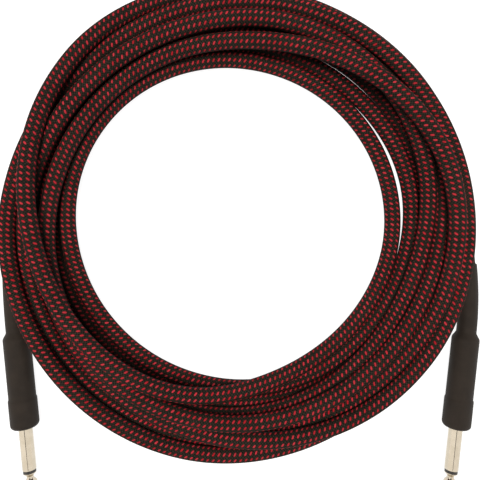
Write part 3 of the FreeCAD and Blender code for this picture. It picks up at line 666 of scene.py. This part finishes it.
# Lugs and solder
# The two lugs are stamped from tinned brass: the ground lug's claw holds the jacket and the tip lug's tag
# takes the conductor. Each wire is held by a bead of solder, run on hot and left to set.

# Rolling marks and frost are finer on the real sheet and solder. They are drawn this coarse to show.
ROLLING_MARK = 0.45
ROLLING_STRETCH = 0.08
FROST_GRAIN = 0.77


def tinned_brass():
    """Tin over brass, dull silver with the rolling marks of the sheet."""
    material, tree, surface = finish("tinned_brass_sheet", Metallic=1.0)
    spot = node(tree, "ShaderNodeTexCoord", {}).outputs["Object"]
    rolled = node(tree, "ShaderNodeMapping", {"Vector": spot, "Scale": (1.0, ROLLING_STRETCH, 1.0)})
    marks = node(tree, "ShaderNodeTexNoise",
                 {"Vector": rolled, "Scale": 1000 / ROLLING_MARK, "Detail": 3.0})
    shade = node(tree, "ShaderNodeMix", {"Factor": marks, "A": colour("#a9a18d"), "B": colour("#d8d3c6")},
                 data_type="RGBA")
    rough = node(tree, "ShaderNodeMath", {0: marks, 1: 0.25, 2: 0.25}, operation="MULTIPLY_ADD")
    wired(surface, {"Base Color": shade, "Roughness": rough})
    return material


def soft_solder():
    """Grey solder, bright on its back and frosted where it cooled last."""
    material, tree, surface = finish("soft_solder", Metallic=1.0)
    spot = node(tree, "ShaderNodeTexCoord", {}).outputs["Object"]
    frost = node(tree, "ShaderNodeTexNoise", {"Vector": spot, "Scale": 1000 / FROST_GRAIN, "Detail": 4.0})
    shade = node(tree, "ShaderNodeMix", {"Factor": frost, "A": colour("#8f9193"), "B": colour("#d6d8d9")},
                 data_type="RGBA")
    rough = node(tree, "ShaderNodeMapRange",
                 {"Value": frost, "From Min": 0.35, "From Max": 0.65, "To Min": 0.16, "To Max": 0.5},
                 interpolation_type="SMOOTHSTEP")
    bump = node(tree, "ShaderNodeBump", {"Height": frost, "Strength": 0.4, "Distance": 0.0001})
    wired(surface, {"Base Color": shade, "Roughness": rough, "Normal": bump})
    return material


tinned = tinned_brass()
dressed("ground_lug", tinned)
dressed("tip_lug", tinned)
solder = soft_solder()
dressed("ground_solder", solder)
dressed("tip_solder", solder)

# Insulating tube, washer and liner
# The tube and washer keep the tip's rod from the shaft and its lug. The liner is a rolled sleeve that keeps
# the barrel off the wires. All are cut from fibre or plastic and held between the parts around them.

# Paper flecks are about half a millimetre. The film's lines are much finer, and drawn as wide to show.
PAPER_FLECK = 0.59
DRAW_LINE = 0.56
DRAW_STRETCH = 0.05


def vulcanised_fibre():
    """Brick-red hard fibre with short paper flecks, dull."""
    material, tree, surface = finish("vulcanised_fibre", Roughness=0.6)
    spot = node(tree, "ShaderNodeTexCoord", {}).outputs["Object"]
    paper = node(tree, "ShaderNodeTexNoise", {"Vector": spot, "Scale": 1000 / PAPER_FLECK, "Detail": 4.0})
    shade = node(tree, "ShaderNodeMix", {"Factor": paper, "A": colour("#7a2d20"), "B": colour("#b4543f")},
                 data_type="RGBA")
    bump = node(tree, "ShaderNodeBump", {"Height": paper, "Strength": 0.3, "Distance": 0.00005})
    wired(surface, {"Base Color": shade, "Normal": bump})
    return material


def clear_sleeve():
    """Milky polyester film, glossy, with faint lengthwise draw lines."""
    material, tree, surface = finish("milky_polyester_film")
    spot = node(tree, "ShaderNodeTexCoord", {}).outputs["Object"]
    drawn = node(tree, "ShaderNodeMapping", {"Vector": spot, "Scale": (1.0, DRAW_STRETCH, 1.0)})
    lines = node(tree, "ShaderNodeTexNoise", {"Vector": drawn, "Scale": 1000 / DRAW_LINE, "Detail": 2.0})
    shade = node(tree, "ShaderNodeMix", {"Factor": lines, "A": colour("#c9c9c3"), "B": colour("#e6e6e0")},
                 data_type="RGBA")
    rough = node(tree, "ShaderNodeMapRange",
                 {"Value": lines, "From Min": 0.3, "From Max": 0.7, "To Min": 0.2, "To Max": 0.36},
                 interpolation_type="SMOOTHSTEP")
    wired(surface, {"Base Color": shade, "Roughness": rough})
    return material


fibre = vulcanised_fibre()
dressed("insulating_tube", fibre)
dressed("rear_washer", fibre)
dressed("liner", clear_sleeve())

# Barrel
# A drawn brass tube, nickel plated, that screws onto the shaft's thread and closes the plug. The boot is
# pushed over it and hides it.

# The drawing die's lines are finer than this, and drawn this coarse to show
DIE_LINE = 0.38
DIE_STRETCH = 0.03


def drawn_nickel():
    """Nickel over drawn brass, brushed lengthwise by the drawing die."""
    material, tree, surface = finish("nickel_plated_drawn_tube", Metallic=1.0)
    spot = node(tree, "ShaderNodeTexCoord", {}).outputs["Object"]
    drawn = node(tree, "ShaderNodeMapping", {"Vector": spot, "Scale": (1.0, DIE_STRETCH, 1.0)})
    lines = node(tree, "ShaderNodeTexNoise", {"Vector": drawn, "Scale": 1000 / DIE_LINE, "Detail": 3.0})
    shade = node(tree, "ShaderNodeMix", {"Factor": lines, "A": colour("#b9b09d"), "B": colour("#dcd3c1")},
                 data_type="RGBA")
    rough = node(tree, "ShaderNodeMapRange",
                 {"Value": lines, "From Min": 0.3, "From Max": 0.7, "To Min": 0.16, "To Max": 0.34},
                 interpolation_type="SMOOTHSTEP")
    wired(surface, {"Base Color": shade, "Roughness": rough})
    return material


dressed("barrel", drawn_nickel())

# Boot
# Moulded in one piece from a soft black elastomer and pushed over the barrel from behind. Its front third
# stands a little proud, its front edge is rounded, and its narrow tail lets the cable bend gently.
BOOT_SIDES = 72
BOOT_BORE = 0.0056
BODY_RADIUS = 0.00625
LEDGE = 0.0297
FRONT_EDGE = 0.0022
FRONT_STEPS = 6
MOUTH_EDGE = 0.0003
CABLE_FIT = 0.00003
TAIL_RINGS = 22
RINGS_APART = TAIL_LENGTH / TAIL_RINGS

# Spark erosion leaves pits of a tenth of a millimetre in the mould, drawn four times as coarse to show
SPARK_GRAIN = 0.42
BLOOM = 7.1


def moulded_elastomer():
    """Warm black rubber, matt, with its mould's fine spark grain and a faint bloom where it is handled."""
    material, tree, surface = finish("moulded_black_elastomer", Specular_IOR_Level=0.14)
    spot = node(tree, "ShaderNodeTexCoord", {}).outputs["Object"]
    grain = node(tree, "ShaderNodeTexNoise", {"Vector": spot, "Scale": 1000 / SPARK_GRAIN, "Detail": 3.0})
    bloom = node(tree, "ShaderNodeTexNoise",
                 {"Vector": spot, "Scale": 1000 / BLOOM, "Detail": 4.0, "Roughness": 0.6})
    share = node(tree, "ShaderNodeMapRange", {"Value": bloom, "From Min": 0.3, "From Max": 0.75},
                 interpolation_type="SMOOTHSTEP")
    shade = node(tree, "ShaderNodeMix", {"Factor": share, "A": colour("#241f1b"), "B": colour("#2d2722")},
                 data_type="RGBA")
    rough = node(tree, "ShaderNodeMapRange",
                 {"Value": bloom, "From Min": 0.3, "From Max": 0.7, "To Min": 0.52, "To Max": 0.66},
                 interpolation_type="SMOOTHSTEP")
    bump = node(tree, "ShaderNodeBump", {"Height": grain, "Strength": 0.35, "Distance": 0.00006})
    wired(surface, {"Base Color": shade, "Roughness": rough, "Normal": bump})
    return material


def boot_outline():
    """From the tail's mouth over shoulder and ledge to the front, and back along the bore."""
    bore = CABLE_RADIUS + CABLE_FIT
    outside = [(MOUTH, bore), (MOUTH, TAIL_RADIUS - MOUTH_EDGE), (MOUTH + MOUTH_EDGE, TAIL_RADIUS)]
    outside += [(MOUTH + RINGS_APART * i, TAIL_RADIUS) for i in range(1, TAIL_RINGS)]
    outside += [(-0.0032, TAIL_RADIUS), (-0.0026, TAIL_RADIUS + 0.0001), (-0.0004, BODY_RADIUS - 0.00025),
                (0.0002, BODY_RADIUS - 0.00004), (0.0009, BODY_RADIUS)]
    outside += [(LEDGE - 0.0008, BODY_RADIUS), (LEDGE - 0.0003, BODY_RADIUS + 0.00004),
                (LEDGE + 0.0003, BOOT_RADIUS - 0.00004), (LEDGE + 0.0008, BOOT_RADIUS)]
    for i in range(FRONT_STEPS + 1):
        a = math.pi / 2 * i / FRONT_STEPS
        outside.append((BOOT_LENGTH - FRONT_EDGE + FRONT_EDGE * math.sin(a),
                        BOOT_RADIUS - FRONT_EDGE + FRONT_EDGE * math.cos(a)))
    inside = [(BOOT_LENGTH, NECK_RADIUS + 0.0001), (BOOT_LENGTH - 0.0001, NECK_RADIUS),
              (COLLAR_FRONT, NECK_RADIUS), (COLLAR_FRONT, BOOT_BORE), (0.0, BOOT_BORE), (0.0, bore)]
    inside += [(-TAIL_STEP * i, bore) for i in range(1, TAIL_STEPS)]
    return outside + inside


elastomer = moulded_elastomer()
for side in PLUGS:
    boot = turned(side + "_moulded_boot", side, boot_outline(), BOOT_SIDES, elastomer)
    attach(boot, "root")
    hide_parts(side + "_boot")

# Surface and light
# The cable lies on white opal glass lit from below. Two wide soft boxes beside the camera show only in what
# shines, and the dark between them is the line along each shaft. A small one overhead lights the yarn.
FLOOR_HALF = 2

# The glass's tooth is finer than this, and drawn this coarse to show
TOOTH = 1.4


def light_table():
    """White opal glass, lit from below, with a faint tooth."""
    material, tree, surface = finish("opal_glass", Roughness=0.9, Emission_Color=colour("#ffffff"),
                                     Emission_Strength=0.96)
    spot = node(tree, "ShaderNodeTexCoord", {}).outputs["Object"]
    tooth = node(tree, "ShaderNodeTexNoise", {"Vector": spot, "Scale": 1000 / TOOTH, "Detail": 2.0})
    shade = node(tree, "ShaderNodeMix", {"Factor": tooth, "A": colour("#767674"), "B": colour("#7d7d7c")},
                 data_type="RGBA")
    wired(surface, {"Base Color": shade})
    return material


def soft_light(name, spot, width, length, power, lights):
    """A soft box that faces the middle of the coil and is either mirrored or scattered by surfaces."""
    light = bpy.data.lights.new(name, "AREA")
    light.shape = "RECTANGLE"
    light.size, light.size_y, light.energy = width, length, power
    light.color = colour("#fffcf8")[:3]
    box = bpy.data.objects.new(name, light)
    box.location = spot
    box.rotation_euler = Vector(spot).to_track_quat("Z", "Y").to_euler()
    box.visible_camera = False
    box.visible_diffuse = lights == "scattered"
    box.visible_glossy = lights == "mirrored"
    bpy.context.scene.collection.objects.link(box)


floor_mesh = bpy.data.meshes.new("light_table")
corners = [(x * FLOOR_HALF, y * FLOOR_HALF, 0) for x, y in ((-1, -1), (1, -1), (1, 1), (-1, 1))]
floor_mesh.from_pydata(corners, [], [(0, 1, 2, 3)])
floor_mesh.materials.append(light_table())
floor = bpy.data.objects.new("light_table", floor_mesh)
bpy.context.scene.collection.objects.link(floor)

soft_light("key_soft_box", (-0.08, 0.06, 1.0), width=0.45, length=0.45, power=13, lights="scattered")
soft_light("left_soft_box", (-1.0, -0.3, 0.83), width=2.8, length=2.3, power=25, lights="mirrored")
soft_light("right_soft_box", (1.0, -0.3, 0.83), width=2.8, length=2.3, power=23, lights="mirrored")

room = bpy.data.worlds.new("studio")
room.use_nodes = True
wired(room.node_tree.nodes["Background"], {"Color": colour("#e9e5df"), "Strength": 0.17})
bpy.context.scene.world = room
bpy.context.scene.view_settings.view_transform = "Standard"

# Camera
# Straight above, as the photograph was taken, with the picture's top towards +Y.
camera = bpy.data.cameras.new("camera")
camera.sensor_width = 36.0
camera.lens = 35.07
camera.clip_start = 0.01
stand = bpy.data.objects.new("camera", camera)
stand.location = (0.00402, -0.00905, 0.235)
bpy.context.scene.collection.objects.link(stand)
bpy.context.scene.camera = stand
